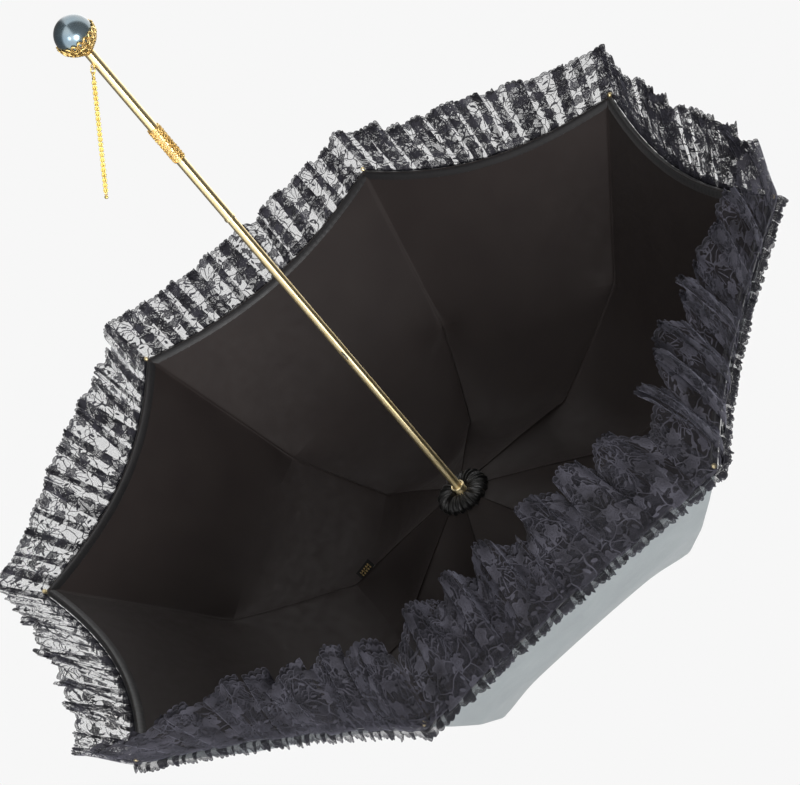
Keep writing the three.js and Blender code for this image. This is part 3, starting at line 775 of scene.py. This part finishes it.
def hem_binding(rib):
    """A folded satin strip that closes both cloths at the hem, puckered by its stitches."""
    across = np.linspace(-1, 1, 121)
    points, over, down, normals = hem_frame(across)
    if np.dot(down[len(across) // 2], [1, 0, -1]) < 0:
        down = -down
    section = np.array(BINDING_SECTION, float)
    pucker = 1 + 0.05 * np.sin(across * 150) * (1 - np.abs(across) ** 8)
    around = down[:, None] * section[None, :, :1] + normals[:, None] * section[None, :, 1:]
    grid = points[:, None] + around * pucker[:, None, None]
    rows, columns = grid.shape[:2]
    faces = grid_faces(rows, columns, around=True).tolist()
    faces += [list(range(columns))[::-1], [(rows - 1) * columns + i for i in range(columns)]]
    ring = np.concatenate([[0], np.cumsum(np.linalg.norm(np.diff(section, axis=0), axis=1))])
    flat = np.stack(np.broadcast_arrays(points[:, 1:2], ring[None, :]), -1)
    turned = turn_about_z(grid.reshape(-1, 3), rib * SECTOR)
    piece = mesh_object(f"hem_binding_{rib + 1}", turned, faces, flat.reshape(-1, 2), 60)
    dress(piece, BINDING, "satin_lining", f"rib_outer_{rib + 1}")
    fold_flat(piece)


# ---------- lace ----------
# One knife pleat as [share of its pitch, share of the fold's depth along the hem, share of its height].
PLEAT = [[0, 0, 0], [0.26, 0, 0.3], [0.5, 0.42, 0.85], [0.5, 0.5, 0.55], [0.5, 0.3, 0.2], [0.5, -0.3, -0.2],
         [0.5, -0.5, -0.55], [0.5, -0.42, -0.85], [0.76, 0, -0.3]]


def smooth_path(keys, steps):
    """A Catmull-Rom curve through the key rows; the last axis is each row's values."""
    padded = np.concatenate([2 * keys[:1] - keys[1:2], keys, 2 * keys[-1:] - keys[-2:-1]])
    p0, p1, p2, p3 = padded[:-3], padded[1:-2], padded[2:-1], padded[3:]
    t = np.linspace(0, 1, steps, endpoint=False)[None, :, None]
    p0, p1, p2, p3 = (p[:, None, :] for p in (p0, p1, p2, p3))
    bend = 2 * p0 - 5 * p1 + 4 * p2 - p3
    twist = 3 * p1 - p0 - 3 * p2 + p3
    curve = 0.5 * (2 * p1 + (p2 - p0) * t + bend * t**2 + twist * t**3)
    return np.concatenate([curve.reshape(-1, keys.shape[1]), keys[-1:]])


def between_ribs(values, rib, across, middle=None):
    """A value given at each rib, eased to its neighbour's, or to middle, half-way between them."""
    own = values[rib]
    beside = np.where(across < 0, values[rib - 1], values[(rib + 1) % RIBS])
    halfway = (own + beside) / 2 if middle is None else middle
    return own + (halfway - own) * smoothstep(np.abs(across))


def pleat_path(rng, rib, half, pitch, depth):
    """Knife pleats of uneven size along half the hem either way, one row of values for each point.

    The rows hold the place along the hem, the fold's slide along it and rise out of it, and the tilt in
    degrees, drop and lag that make each pleat differ.
    """
    count = max(4, round(2 * half / pitch))
    sizes = rng.uniform(0.65, 1.4, count)
    ends = np.concatenate([[0], np.cumsum(sizes) / sizes.sum()]) * 2 * half - half
    keys = []
    for i in range(count):
        size = ends[i + 1] - ends[i]
        calm = min(1.0, (i + 0.6) / 1.6, (count - i - 0.4) / 1.6)
        middle = np.array((ends[i] + size / 2) / half)
        fold = float(between_ribs(depth, rib, middle)) * rng.uniform(0.6, 1.4) * size / pitch
        tall = rng.uniform(0.5, 1.4)
        tilt = rng.uniform(-13, 13) * calm
        drop = rng.uniform(-1, 1) * calm
        lag = rng.uniform(-0.5, 0.9) * calm
        for share, slide, rise in PLEAT:
            keys.append([ends[i] + share * size, slide * fold, rise * tall, tilt, drop, lag])
    keys.append([half, 0, 0, 0, 0, 0])
    keys[0][2:] = [0, 0, 0, 0]
    return smooth_path(np.array(keys), 3).T[:, None, :]


def pleated_lace(name, rib, width, rows, pitch, seed, turn, depth, height, puff, lean, reach):
    """A gathered strip: knife pleats on wide puffs, that open toward its free edge.

    depth, height, puff, lean and reach each hold one value for each rib.
    """
    rng = np.random.default_rng(seed + rib)
    half = np.linalg.norm(np.diff(hem_frame(np.linspace(0, 1, 60))[0], axis=0), axis=1).sum()
    base, slide, rise, tilt, drop, lag = pleat_path(rng, rib, half, pitch, depth)
    v = np.linspace(0, 1, rows)[:, None] ** 1.15
    across = (base + slide * (1 - 0.35 * v) + lag * v * 5) / half
    points, over, down, normals = hem_frame(across)
    phase = math.pi * (base + half) / PUFF_LENGTH + rng.uniform(0, 3)
    swell = np.abs(np.sin(phase + 0.35 * np.sin(phase * 0.7 + 1))) ** 0.8 - 0.45
    puffs = between_ribs(puff, rib, across)
    leans = between_ribs(lean, rib, across)
    final = leans + tilt * v + 9 * np.sin(math.pi * v) * drop + 1.1 * puffs * (swell - 0.1) * v
    turned = smoothstep(width * v / turn)
    angle = np.radians(RIM_SLOPE * (1 - turned) + final * turned)
    level = unit(points * np.array([1, 1, 0]))
    way = level * np.cos(angle)[..., None] - np.array([0, 0, 1.0]) * np.sin(angle)[..., None]
    face = np.cross(way, over)
    shown = width * v * between_ribs(reach, rib, across, middle=1.0)
    step = np.diff(shown, axis=0, prepend=0) * (1 + 0.02 * puffs * (swell - 0.2))
    tall = between_ribs(height, rib, across)
    lift = tall * rise * (0.16 + 0.84 * v**0.8) + 0.5 * np.sin(7 * v + base / 9) * v
    lift = lift + puffs * swell * np.sin(math.pi * np.minimum(v * 0.72 + 0.04, 1)) ** 0.9
    grid = points + normals * STITCH_OUT + np.cumsum(way * step[..., None], 0) + face * lift[..., None]
    steps = np.linalg.norm(np.diff(grid, axis=1), axis=-1).mean(0)
    run = np.concatenate([[0], np.cumsum(steps)]) + rib * 1000
    flat = np.stack(np.broadcast_arrays(run[None, :], width * v), -1)
    piece = open_sheet(f"{name}_{rib + 1}", turn_about_z(grid, rib * SECTOR), flat)
    return piece, grid


def lace_ruffle(rib):
    piece, grid = pleated_lace(
        "ruffle_lace", rib, RUFFLE_WIDTH, 26, RUFFLE_PITCH, seed=40, turn=TURN_LENGTH, depth=RUFFLE_DEPTH,
        height=RUFFLE_FULLNESS, puff=RUFFLE_PUFF, lean=RUFFLE_LEAN, reach=RUFFLE_REACH,
    )
    dress(piece, LACE, "black_lace", f"lace_ruffle_{rib + 1}", f"lace_ruffle_{rib + 1}")
    fold_flat(piece)


def lace_heading(rib):
    piece, grid = pleated_lace(
        "lace_heading", rib, HEADING_WIDTH, 7, HEADING_PITCH, seed=90, turn=HEADING_TURN,
        depth=[HEADING_DEPTH] * RIBS, height=[HEADING_FULLNESS] * RIBS, puff=[0] * RIBS,
        lean=[HEADING_LEAN] * RIBS, reach=[1] * RIBS,
    )
    dress(piece, HEADING_LACE, "black_lace", f"rib_outer_{rib + 1}")
    fold_flat(piece)


# ---------- rosette ----------
# The gathered cloth's outline, as [radius, height above the rosette's front].
ROSETTE_OUTLINE = [
    [8.3, 3.4], [8.8, 0.9], [12, -1.4], [17, -2.2], [22, -1.2], [26, 1.2], [28.6, 4.6], [29, 8.2], [26.5, 11],
    [22, 12.4], [16, 12.6], [10.5, 11.6],
]


def rosette():
    """Satin gathered round the runner: sharp uneven folds that turn over its rim."""
    outline = smooth_path(np.array(ROSETTE_OUTLINE, float), 3)
    pleats, steps = 20, 12
    rng = np.random.default_rng(7)
    angles = np.linspace(0, 2 * math.pi, pleats * steps, endpoint=False)
    wobble = sum(rng.uniform(0.2, 0.5) * np.sin(angles * k + rng.uniform(0, 6)) for k in (2, 3, 5))
    part = np.linspace(0, 1, len(outline))[:, None]
    phase = angles[None, :] * pleats + wobble[None, :] * 2.2 + 1.5 * part
    fold = 1 - np.abs(np.sin(phase / 2)) * 2
    fold = 0.7 * fold + 0.3 * np.sin(2.3 * phase + 5 * part)
    deep = 2.1 * np.sin(math.pi * np.clip(part * 1.15, 0, 1)) ** 0.7
    ways = unit(np.gradient(outline, axis=0))
    out = np.stack([ways[:, 1], -ways[:, 0]], -1)
    radius = outline[:, :1] + out[:, :1] * fold * deep
    height = outline[:, 1:] + out[:, 1:] * fold * deep
    grid = np.stack([radius * np.cos(angles), radius * np.sin(angles), height + ROSETTE_FRONT + 0.8], -1)
    strip = np.concatenate([grid, grid[:, :1]], 1)
    flat = np.stack(np.broadcast_arrays(np.append(angles, 2 * math.pi)[None, :] * 20, part * 45), -1)
    piece = open_sheet("rosette_folds", strip, flat)
    dress(piece, ROSETTE, "satin_lining", "runner", "rosette")


# ---------- knob ----------
def on_sphere(radius, polar, turn):
    return np.array([
        radius * math.sin(polar) * math.cos(turn), radius * math.sin(polar) * math.sin(turn),
        PEARL_Z + radius * math.cos(polar),
    ])


def pearl():
    points, faces = ball([0, 0, PEARL_Z], [PEARL_RADIUS] * 3, columns=72, rows=37)
    piece = mesh_object("pearl", points, faces)
    dress(piece, PEARL, "grey_pearl", "stick", "pearl_knob")


def loop_row(count, polar, half_across, half_along, wire, half_step):
    """A ring of oval wire loops lying on the pearl."""
    parts = []
    for i in range(count):
        turn = (i + half_step) * 2 * math.pi / count
        east = [-math.sin(turn), math.cos(turn), 0]
        south = [math.cos(polar) * math.cos(turn), math.cos(polar) * math.sin(turn), -math.sin(polar)]
        middle = on_sphere(PEARL_RADIUS + wire + 0.25, polar, turn)
        parts.append(ring_tube(middle, east, south, half_across, half_along, wire))
    return parts


def bead_row(count, polar, size, half_step):
    parts = []
    for i in range(count):
        turn = (i + half_step) * 2 * math.pi / count
        parts.append(ball(on_sphere(PEARL_RADIUS + size * 0.7, polar, turn), [size] * 3, columns=8, rows=6))
    return parts


# Each row: its maker, how many, degrees from the pearl's top, sizes, and how far it is turned, in steps.
SETTING_ROWS = [
    (loop_row, 18, 76, (2.7, 4.3, 0.72), 0),
    (loop_row, 18, 77, (1.3, 2.7, 0.42), 0),
    (bead_row, 18, 63, (0.95,), 0.5),
    (loop_row, 18, 55, (2.2, 2.9, 0.62), 0.5),
    (bead_row, 18, 55, (0.85,), 0.5),
    (loop_row, 14, 40, (2.1, 2.6, 0.62), 0),
    (bead_row, 14, 47, (0.8,), 0.5),
    (bead_row, 14, 38, (0.9,), 0),
    (bead_row, 10, 28, (1.2,), 0),
]
# The small cup under the rows, as [radius, height above the pearl's centre].
CUP_OUTLINE = [[3, 20.6], [5.2, 20.6], [6.2, 20.0], [8.2, 18.9], [9.6, 17.6], [9.3, 16.9]]


def knob_setting():
    """The filigree crown: rows of wire loops with beads between them, on a small cup."""
    parts = []
    for make_row, count, polar, sizes, half_step in SETTING_ROWS:
        parts += make_row(count, math.radians(polar), *sizes, half_step=half_step)
    cup = smooth_path(np.array(CUP_OUTLINE, float), 3)
    turns = np.linspace(0, 2 * math.pi, 64, endpoint=False)
    grid = np.stack([
        cup[:, :1] * np.cos(turns), cup[:, :1] * np.sin(turns), PEARL_Z + cup[:, 1:] + 0 * turns,
    ], -1)
    parts.append((grid.reshape(-1, 3), grid_faces(len(cup), len(turns), around=True)[:, ::-1]))
    points, faces = joined(parts)
    piece = mesh_object("setting_filigree", points, faces)
    dress(piece, OLD_GOLD, "gilt_brass", "stick", "knob_setting")


COLLAR_LOW = 34.2
COLLAR_HIGH = 75.8
COLLAR_CORE = 6.0  # radius that the scrolls lie on
SCROLL_ROWS = 17
SCROLL_COLUMNS = 9


def grip_collar():
    """A band of small scattered scrolls and grains between two plain rings, round the grip."""
    rng = np.random.default_rng(5)
    pitch = (COLLAR_HIGH - COLLAR_LOW - 4.8) / (SCROLL_ROWS - 1)
    parts = []
    for row in range(SCROLL_ROWS):
        for column in range(SCROLL_COLUMNS):
            turn = (column + 0.5 * (row % 2) + rng.uniform(-0.2, 0.2)) * 2 * math.pi / SCROLL_COLUMNS
            z = COLLAR_LOW + 2.4 + (row + rng.uniform(-0.3, 0.3)) * pitch
            out = np.array([math.cos(turn), math.sin(turn), 0])
            tip = rng.uniform(0, math.pi)
            side = np.array([-out[1], out[0], 0])
            first = side * math.cos(tip) + np.array([0, 0, 1]) * math.sin(tip)
            second = np.cross(out, first)
            middle = out * COLLAR_CORE + np.array([0, 0, z])
            half_across, half_along = rng.uniform(0.8, 1.2), rng.uniform(1.2, 1.9)
            parts.append(ring_tube(middle, first, second, half_across, half_along, 0.42, turns=12, sides=6))
            grain = [rng.uniform(0.5, 0.75)] * 3
            parts.append(ball(middle + side * 2.1 + out * 0.15, grain, columns=7, rows=5))
    for z in (COLLAR_LOW + 0.7, COLLAR_HIGH - 0.7):
        parts.append(ring_tube([0, 0, z], [1, 0, 0], [0, 1, 0], 5.9, 5.9, 0.6, turns=48, sides=8))
    points, faces = joined(parts)
    piece = mesh_object("collar_scrolls", points, faces)
    dress(piece, OLD_GOLD, "gilt_brass", "stick")


# ---------- wrist chain ----------
LINK_PITCH = 2.3
STRAND_APART = 1.2  # half the distance between the two strands
FIRST_LINK = 12.0  # distance of the first link from the swinging ring's pivot


def wrist_chain():
    """Two strands of round links from a yoke to an end bead."""
    high = np.array(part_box("wrist_chain")[1]) / MM
    start = np.array([v / MM for v in joint_position("ring_swing")])
    azimuth = math.atan2(start[1], start[0])
    out = np.array([math.cos(azimuth), math.sin(azimuth), 0])
    side = np.array([-math.sin(azimuth), math.cos(azimuth), 0])
    lean = math.atan2((high[0] - start[0]) / math.cos(azimuth) - 2, high[2] - start[2] - 2)
    way = out * math.sin(lean) + np.array([0, 0, 1]) * math.cos(lean)
    normal = np.cross(side, way)
    end = (high[2] - start[2] - 2.4) / math.cos(lean)
    axes = np.stack([side, normal, way], -1)

    def along(distance, off=0.0):
        return start + way * distance + side * off

    parts = [ring_tube(along(7.0), side, way, 1.6, 2.3, 0.6), ball(along(10.3), [2.2, 1.5, 1.5], axes)]
    links = int((end - FIRST_LINK - 1.5) / LINK_PITCH)
    for strand in (-1, 1):
        for i in range(links):
            middle = along(FIRST_LINK + i * LINK_PITCH, strand * STRAND_APART)
            tip = 0.9 if i % 2 else -0.7
            flat_way = side * math.cos(tip) + normal * math.sin(tip)
            parts.append(ring_tube(middle, flat_way, way, 0.95, 1.65, 0.62, turns=12, sides=7))
    parts.append(ball(along(end - 1.2), [2.3, 1.6, 1.7], axes))
    points, faces = joined(parts)
    piece = mesh_object("wrist_chain_links", points, faces)
    dress(piece, CHAIN_GOLD, "gilt_brass", "wrist_chain", "wrist_chain")


# ---------- label ----------
TAG_LENGTH = 21
TAG_WIDTH = 11.5


def woven_label():
    """A folded woven tag sewn to the lining beside the second rib, half turned toward the handle's side."""
    low, high = (np.array(corner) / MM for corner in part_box("label"))
    ends = cloth_points(LINING_LINE, np.array([140.0, 161.0]), np.array([0.24, 0.06]))
    long_way = unit(ends[1] - ends[0])
    normal = cloth_normals(LINING_LINE, np.array([150.0]), np.array([0.15]))[0]
    toward = turn_about_z(np.array(back)[None], -SECTOR)[0]
    normal = unit(-normal if np.dot(normal, toward) < 0 else normal) + 1.6 * toward
    normal = unit(normal - long_way * np.dot(normal, long_way))
    wide_way = np.cross(normal, long_way)
    middle = turn_about_z((low + high) / 2, -SECTOR)
    u = np.linspace(0, TAG_LENGTH, 26)[:, None]
    v = np.linspace(0, TAG_WIDTH, 15)[None, :]
    curl = -1.6 * (v / TAG_WIDTH) ** 2 - 0.5 * np.sin(u / TAG_LENGTH * math.pi) + 0.3
    grid = middle + (u - TAG_LENGTH / 2)[..., None] * long_way + (v - TAG_WIDTH / 2)[..., None] * wide_way
    grid = grid + curl[..., None] * normal
    flat = np.stack(np.broadcast_arrays(u, v), -1)
    ways = np.broadcast_to(normal, grid.shape)
    piece = shell("label_tag", turn_about_z(grid, SECTOR), turn_about_z(ways, SECTOR), 0.35, flat)
    dress(piece, label_material(TAG_LENGTH, TAG_WIDTH), "woven_label", "rib_inner_2", "label")
    fold_flat(piece)


# ---------- carried-over metal ----------
def finish_metal():
    """Dresses the CAD nodes that are shown as they are."""
    gold = ["shaft", "handle_sleeve", "ferrule", "top_notch", "runner"]
    gold += [f"rib_outer_{i + 1}" for i in range(RIBS)]
    steel = ["runner_catch"]
    steel += [f"{stem}_{i + 1}" for i in range(RIBS) for stem in ("rib_inner", "stretcher")]
    for material, nodes in ((GOLD, gold), (STEEL, steel), (CHAIN_GOLD, ["chain_ring"])):
        for name in nodes:
            node = frame["nodes"][name]
            node.data.materials.clear()
            node.data.materials.append(material)
            node.data.shade_smooth()
            node.data.set_sharp_from_angle(angle=math.radians(32))


for rib in range(RIBS):
    stretched_cloth(rib)
    hem_binding(rib)
    lace_ruffle(rib)
    lace_heading(rib)
rosette()
pearl()
knob_setting()
grip_collar()
wrist_chain()
woven_label()
finish_metal()
